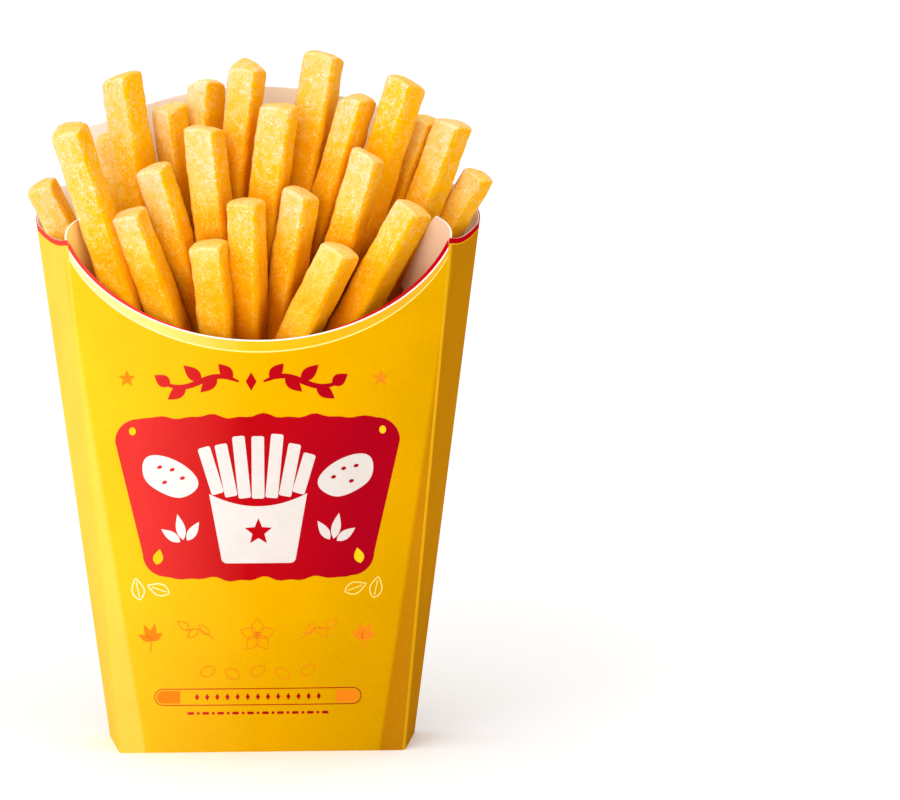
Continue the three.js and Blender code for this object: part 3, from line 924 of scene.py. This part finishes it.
RIBBON = Values(z=16.4, half=29.0, radius=2.4, line=0.26, gap=0.55, end_length=4.8)
LOZENGES = Values(each_side=6, step=2.85, up=1.05, across=0.62)
DASHES = Values(each_side=9, step=2.1, z=11.6, short=0.8, long=1.9)


# A long rounded frame with filled ends and a row of lozenges, and a row of dashes under it.
def ribbon_print():
    bend_x = RIBBON.half - RIBBON.radius
    frame_path, ends = [], []
    for sx, start in ((1, -90), (-1, 90)):
        centre = (PRINT_X + sx * bend_x, RIBBON.z)
        frame_path += arc(centre, RIBBON.radius, start, 180, 12)
        end = arc(centre, RIBBON.radius - RIBBON.gap, start, 180, 10)
        square_x = PRINT_X + sx * (bend_x - RIBBON.end_length)
        ends.append(end + [(square_x, end[-1][1]), (square_x, end[0][1])])
    shapes = stroke(frame_path, RIBBON.line, closed=True)
    for i in range(-LOZENGES.each_side, LOZENGES.each_side + 1):
        centre = (PRINT_X + LOZENGES.step * i, RIBBON.z)
        shapes.append(star(centre, LOZENGES.up, LOZENGES.across, tips=2))
    for i in range(-DASHES.each_side, DASHES.each_side + 1):
        dash = rounded_bar(DASHES.long if i % 2 else DASHES.short, DASHES.short, 0.3, 2)
        shapes.append(turned(dash, 0, (PRINT_X + DASHES.step * i, DASHES.z)))
    return [
        ("print_ribbon", shapes, RED, 0.03),
        ("print_ribbon_ends", ends, ORANGE, 0.03),
    ]


# ---- The fries

CORNER = 0.4  # the rounded corner's share of half the section
FLAT_STEPS = 6
ROUND_STEPS = 8


# A fry's section, a rounded square of half width 1: points, their normals and how near a corner each is.
# In complex numbers, a power of 1j turns by that many quarters.
def section():
    points, normals, edges = [], [], []
    flat = 1 - CORNER
    for side in range(4):
        for i in range(FLAT_STEPS):
            points.append(1j**side * complex(1, lerp(-flat, flat, i / FLAT_STEPS)))
            normals.append(1j**side)
            edges.append(0.0)
        for i in range(ROUND_STEPS):
            normal = 1j ** (side + i / ROUND_STEPS)
            points.append(1j**side * complex(flat, flat) + CORNER * normal)
            normals.append(normal)
            edges.append(sin(pi * i / ROUND_STEPS))
    return [np.stack([np.real(z), np.imag(z)], axis=1) for z in (points, normals)] + [np.array(edges)]


SECTION, NORMALS, EDGES = section()


def axis_room(z):
    t = z / CORNER_Z
    depth = lerp(BASE.back_y, MOUTH.back_y, t) - lerp(BASE.front_y, MOUTH.front_y, t)
    return depth / 2 - WALL_ROOM


# Where a fry stands: its foot, its axis, the directions of its section, its length and half its width.
def fry_frame(row):
    tip_x, tip_z, lean, depth, roll, size = row
    tip = Vector((tip_x, depth * axis_room(tip_z), tip_z))
    foot_x = tip_x - tan(radians(lean)) * (tip_z - FOOT_Z)
    foot = Vector((foot_x, depth * axis_room(FOOT_Z), FOOT_Z))
    axis = (tip - foot).normalized()
    wide = Matrix.Rotation(radians(roll), 3, axis) @ Vector((0, 1, 0)).cross(axis).normalized()
    deep = axis.cross(wide)
    return *(np.array(v) for v in (foot, axis, wide, deep)), (tip - foot).length, size / 2


START_Z = 99.0  # the modelled part of a fry starts inside the core
END_REACH = 80.0  # how far down from its tip a fry's crust changes
GRAIN_STRETCH = 0.8
GRAIN_STEP = 0.37  # each fry has its own piece of the texture
CROWD = Values(off=3.0, reach=4.0, full=2.6, at_tip=0.1)  # other fries near a point, which darken it with painted shade
RELIEF = ((0.34, 9.0), (0.2, 3.2), (0.1, 1.1))  # height and size of the crust's bumps
RELIEF_STEP = (17.3, 5.1, 0)
TIP = Values(round=1.05, rise=0.75, dome=0.3, shoulder=0.65, round_steps=6, cap_steps=7)
SWAY = 0.5  # how far a fry's middle strays sideways
FACE_SWELL = 1.02
# How pale each side and each stretch of a fry is drawn. Faces towards the lamps are paler and the right sides
# golden, which paints light and shade; deeper, lower and shaded points are more golden, which paints shade;
# points in a neighbour's shadow near the tip are paler, which paints light; the edges and the rim of the cut
# end are paler, a painted highlight; the cut end is paler.
PALENESS = Values(
    front=1.05, right=-0.6, lean=0.014, back=0.0, left=0.7, end=0.8, end_rim=0.4,
    deep=-0.4, down=-0.6, shade=-0.5, lee=0.6, ridge=0.2, most=1.5,
)
LIT_SIDE = Values(size=0.25, bias=1.2)  # how much paler one side of a front face is, drawn for each fry
SIDE_TURN = Values(sharpness=6, right=4)  # how suddenly the sides meet, and the right's weight
LEE = Values(towards=np.array((-4.0, -3.5, 3.0)), reach_down=20.0)  # where a neighbour would shade a point; near the tip such points get painted light
# Fries drawn paler or more golden than the rest, by number: partly each fry's own tone, partly painted light
# on fries that neighbours shade, as 13 and 14.
OWN_PALENESS = {
    3: -0.35, 5: 0.25, 6: -0.2, 7: 0.1, 8: 0.1, 9: -0.15, 11: -0.2, 13: 0.3, 14: 0.5, 18: -0.35, 19: 0.1,
}
# Painted shade: fries behind others are drawn more golden where neighbours keep the light off, looked for in
# three directions, a few steps out.
SHADE = Values(
    towards=np.array(((-0.36, -0.72, 0.6), (0.26, -0.85, 0.46), (-0.1, -0.36, 0.93))),
    steps=(6.0, 12.0, 20.0),
)
RIM_SHADE = Values(from_z=152.0, to_z=112.0)  # painted shade: fries are drawn darker towards the rim
# What makes a point count as deep in the heap, and so darkened with painted shade.
DEPTH = Values(down=0.35, crowd=0.4, shade_at_tip=0.3, shade=0.35, rim=0.6)
FRAMES = {}  # every fry's frame by its number


# The crust's relief at each point, in millimetres; the seed moves it.
def bumps(points, seed):
    out = np.zeros(len(points))
    shift = seed * Vector(RELIEF_STEP)
    for height, size in RELIEF:
        out += [height * noise.noise(Vector(p) / size + shift) for p in points]
    return out


# How closely other fries stand round each point, from 0 in the open to 1 deep between them.
def closeness(points, own):
    total = np.zeros(len(points))
    for n, (foot, axis, _, _, length, half) in FRAMES.items():
        if n == own:
            continue
        away = points - foot
        along = np.clip(away @ axis, 0, length)
        gap = np.linalg.norm(away - along[:, None] * axis, axis=1) - half
        total += np.exp(-np.clip(gap, 0, None) / CROWD.reach)
    return np.clip(total / CROWD.full, 0, 1)


# How far the neighbours in front of a point and above it cover it.
def shade_of(points, own):
    total = np.zeros(len(points))
    for way in SHADE.towards:
        clear = np.ones(len(points))
        for step in SHADE.steps:
            clear *= 1 - closeness(points + step * way, own)
        total += 1 - clear
    return total / len(SHADE.towards)


# The stacked outlines of a fry: each one's places along the axis, scale, inset and share of the end.
def fry_layers(start, length, half, cut, ring_step):
    across, forward, twist, drop = cut
    u, v = SECTION[:, 0], SECTION[:, 1]

    def end_at(share):
        slope = (across * u + forward * v) * share + twist * u * v * share**2
        fallen = TIP.dome * share**2 + TIP.shoulder * (u * v) ** 2 * share**4
        return length - drop + TIP.rise + half * slope - fallen

    round_start = end_at(1) - TIP.round
    rings = max(8, round((length - start) / ring_step))
    layers = [(lerp(start, round_start, t), 1.0, 0.0, 0.0) for t in shares_of(rings)]
    for share in shares_of(TIP.round_steps)[1:]:
        angle = pi / 2 * share
        inset = TIP.round * (1 - cos(angle))
        layers.append((round_start + TIP.round * sin(angle), 1.0, inset, share))
    for i in range(1, TIP.cap_steps + 1):
        share = 1 - i / (TIP.cap_steps + 0.6)
        layers.append((end_at(share), share, TIP.round * share, 1.0))
    return layers


# How pale each point of the section is, before the end, the depth and the neighbours count: faces towards the
# lamps are paler and the right sides golden, painted light and shade, and the edges paler, a painted
# highlight.
def side_paleness(n, lean):
    facing_right = NORMALS[:, 0] > 0
    turned_right = NORMALS[:, 0] ** SIDE_TURN.sharpness * np.where(facing_right, SIDE_TURN.right, 1)
    turned_front = NORMALS[:, 1] ** SIDE_TURN.sharpness
    right = PALENESS.right + PALENESS.lean * max(0, lean)
    across = np.where(facing_right, right, PALENESS.left)
    lit_side = LIT_SIDE.size * (2 * hash_of(n + 0.25) - LIT_SIDE.bias)
    front = PALENESS.front + lit_side * SECTION[:, 0]
    along_y = np.where(NORMALS[:, 1] > 0, PALENESS.back, front)
    sides = lerp(along_y, across, turned_right / (turned_right + turned_front))
    return sides + PALENESS.ridge * EDGES


# How pale, how deep in the heap, which tone and how near the end every point of fry n is; the paleness paints
# light and the depth paints shade.
def crust_of(points, n, lean, directions, ends, share_down):
    from_tip = np.clip(END_REACH * share_down / LEE.reach_down, 0, 1)
    buried = from_tip**2
    crowded = closeness(points + CROWD.off * directions, n) * lerp(CROWD.at_tip, 1.0, buried)
    low = np.clip((RIM_SHADE.from_z - points[:, 2]) / (RIM_SHADE.from_z - RIM_SHADE.to_z), 0, 1)
    shade = shade_of(points, n)
    shaded_depth = shade * lerp(DEPTH.shade_at_tip, DEPTH.shade, buried)
    depth = DEPTH.down * share_down**1.5 + DEPTH.crowd * crowded + shaded_depth + DEPTH.rim * low
    deep = np.clip(depth, 0, 1)
    # Painted light: points near the tip in a neighbour's shadow are drawn paler.
    shadowed_by_neighbour = closeness(points + LEE.towards, n) * (1 - from_tip)
    sides = side_paleness(n, lean)
    pale = lerp(np.tile(sides, len(points) // len(sides)), PALENESS.end, ends)
    pale += PALENESS.deep * deep + PALENESS.down * share_down + PALENESS.lee * shadowed_by_neighbour
    pale += PALENESS.shade * shade * buried + OWN_PALENESS.get(n, 0)
    pale = np.clip(pale + PALENESS.end_rim * np.sin(pi * ends), 0, PALENESS.most)
    return np.stack([pale, deep, np.full(len(points), hash_of(n + 0.7)), ends], axis=1)


# One fry as arrays: vertices, faces, and the crust and grain attributes.
def fry_arrays(row, cut, n, ring_step):
    foot, axis, wide, deep, length, half = FRAMES[n]
    start = (START_Z - FOOT_Z) / axis[2]
    layers = fry_layers(start, length, half, cut, ring_step)
    sideways = FRY.bend * spread_of(n + 0.6) * deep + SWAY * spread_of(n + 0.45) * wide
    normals = NORMALS[:, :1] * wide + NORMALS[:, 1:] * deep
    section = SECTION[:, :1] * wide + SECTION[:, 1:] * deep
    rings, directions = [], []
    for along, scale, inset, end in layers:
        share = np.clip(along / length, 0, 1)[:, None]
        bow = 4 * share * (1 - share)
        size = half * FACE_SWELL * scale * (1 + FRY.taper * (1 - share))
        centre = foot + along[:, None] * axis + bow * sideways
        rings.append(centre + section * size - normals * inset)
        directions.append(normals * (1 - end) + axis * end)
    points, directions = np.concatenate(rings), np.concatenate(directions)
    points = points + directions * bumps(points, n)[:, None]
    ends = np.repeat([end for *_, end in layers], len(SECTION))
    share_down = np.clip((length - (points - foot) @ axis) / END_REACH, 0, 1)
    crust = crust_of(points, n, row[2], directions, ends, share_down)
    away = (points - foot) * MM
    grain = np.stack([away @ wide, away @ deep, away @ axis * GRAIN_STRETCH], axis=1) + n * GRAIN_STEP
    return points, stack_faces(len(layers), len(SECTION)), crust, grain


def add_crust(piece, crust, grain):
    colours = piece.data.color_attributes.new("crust", "FLOAT_COLOR", "POINT")
    colours.data.foreach_set("color", np.ravel(crust))
    places = piece.data.attributes.new("grain", "FLOAT_VECTOR", "POINT")
    places.data.foreach_set("vector", np.ravel(grain))


def fries_piece(name, rows, ring_step):
    made = [fry_arrays(row, cut, n, ring_step) for row, cut, n in rows]
    faces, offset = [], 0
    for points, quads, *_ in made:
        faces += [tuple(i + offset for i in quad) for quad in quads]
        offset += len(points)
    vertices, crust, grain = (np.concatenate([arrays[k] for arrays in made]) for k in (0, 2, 3))
    piece = make_piece(name, vertices, faces, [FRIED], sharp=180)
    add_crust(piece, crust, grain)
    return piece


# A row of shorter fries between and behind those that show.
def fill_row(row, depth, count, half_span, low_z, spread):
    rows = []
    for i in range(count):
        x = lerp(-half_span, half_span, i / (count - 1))
        n = count * row + i
        roll = FILL_FRY.roll + FILL_FRY.roll_spread * spread_of(n)
        size = FILL_FRY.size + FILL_FRY.size_spread * spread_of(n + 0.3)
        slopes = [FILL_CUT.spread * spread_of(n + extra) for extra in (0.1, 0.8)]
        rows.append((
            (x, low_z + spread * hash_of(n + 0.5), x * FILL_FRY.lean_per_mm, depth, roll, size),
            (slopes[0], slopes[1] + FILL_CUT.forward, 0, FILL_CUT.drop),
        ))
    return rows


# The mass of fries under the rim, with a lumpy top that sinks a little towards the middle.
def core_piece():
    inset = BOARD + CORE.gap
    columns = COLUMNS[::2]
    side_steps, top_steps = 12, 20
    heights = [lerp(inset, CORE.top_z, t) for t in shares_of(side_steps)]
    vertices = [placed(point, z, inset) for z in heights for point, *_ in columns]
    rim = vertices[-len(columns):]
    for s in range(1, top_steps):
        share = 1 - s / top_steps
        for x, y, z in rim:
            lump = CORE.lump * noise.noise(Vector((x * share, y * share, 3.0)) / CORE.lump_size)
            vertices.append((x * share, y * share, z + lump - CORE.sink * s / top_steps))
    faces = stack_faces(side_steps + top_steps, len(columns))
    piece = make_piece("fries_core", vertices, faces, [FRIED])
    add_crust(piece, [CORE.crust] * len(vertices), np.array(vertices) * MM)
    return piece


# ---- Making the pieces

INK_FOOT = -0.15  # the print reaches into the board, so that no gap shows
CARTON = [carton_board(), ear(-1), ear(1), front_ply(-1), front_ply(1)]
for name, polygons, material, lift in (*front_print(), *garden_print(), *ribbon_print()):
    CARTON.append(make_plate(name, polygons, on_front, INK_FOOT, lift, [material]))
for piece in CARTON:
    dress(piece, "carton")

fill_rows = [pair for number, fill in enumerate(FILL) for pair in fill_row(number, *fill)]
numbered = [(row, cut, n + 1) for n, (row, cut) in enumerate([*SHOWN, *fill_rows])]
FRAMES.update({n: fry_frame(row) for row, _, n in numbered})
FRONT_COUNT, SHOWN_COUNT = 12, len(SHOWN)
RING_STEP = Values(shown=0.6, short=0.9)
HEAP = (
    fries_piece("fries_front", numbered[:FRONT_COUNT], RING_STEP.shown),
    fries_piece("fries_back", numbered[FRONT_COUNT:SHOWN_COUNT], RING_STEP.shown),
    fries_piece("fries_short", numbered[SHOWN_COUNT:], RING_STEP.short),
    core_piece(),
)
for piece in HEAP:
    dress(piece, "fries")


# ---- Floor, light and camera

def make_floor():
    half = 5.0
    corners_at = [(-half, -half, 0), (half, -half, 0), (half, half, 0), (-half, half, 0)]
    mesh = bpy.data.meshes.new("floor")
    mesh.from_pydata(corners_at, [], [(0, 1, 2, 3)])
    material, tree, shader = new_material("floor_white")
    feed_named(tree, shader, Base_Color=(0.96, 0.96, 0.96), Roughness=0.8)
    mesh.materials.append(material)
    add_object("floor", mesh)


# A light at a place, aimed at a target.
def add_light(name, kind, place, target, **settings):
    light = bpy.data.lights.new(name, kind)
    for key, value in settings.items():
        setattr(light, key, value)
    lamp = add_object(name, light)
    lamp.location = place
    lamp.rotation_mode = "QUATERNION"
    lamp.rotation_quaternion = (Vector(target) - Vector(place)).to_track_quat("-Z", "Y")


# A broad distant light from this side of the front, as a window gives.
def sun_light(name, azimuth, elevation, strength, spread):
    side, up = radians(azimuth), radians(elevation)
    place = (sin(side) * cos(up), -cos(side) * cos(up), sin(up))
    add_light(name, "SUN", place, (0, 0, 0), energy=strength, angle=radians(spread))


def make_world(strength):
    world = bpy.data.worlds.new("studio")
    world.use_nodes = True
    tree = world.node_tree
    feed_named(tree, tree.nodes["Background"], Color=(1, 1, 1), Strength=strength)
    bpy.context.scene.world = world


CAMERA = Values(place=(0, -1.1835, 0.2965), yaw=2.5857, pitch=-9.496, lens=170.64)


def make_camera():
    data = bpy.data.cameras.new("camera")
    data.lens = CAMERA.lens
    data.sensor_width = 36
    data.clip_start, data.clip_end = 0.05, 20
    camera = add_object("camera", data)
    camera.location = CAMERA.place
    camera.rotation_euler = (radians(90 + CAMERA.pitch), 0, radians(-CAMERA.yaw))
    bpy.context.scene.camera = camera


make_floor()
make_world(0.74)
sun_light("key", azimuth=-26, elevation=52, strength=0.9, spread=90)
sun_light("left", azimuth=-80, elevation=48, strength=0.38, spread=70)
sun_light("fill", azimuth=62, elevation=25, strength=0.3, spread=60)
add_light("near", "AREA", (-0.22, -0.5, 0.3), (0, 0, 0.1), shape="DISK", size=0.4, energy=0.9)
make_camera()
bpy.context.scene.view_settings.view_transform = "Standard"
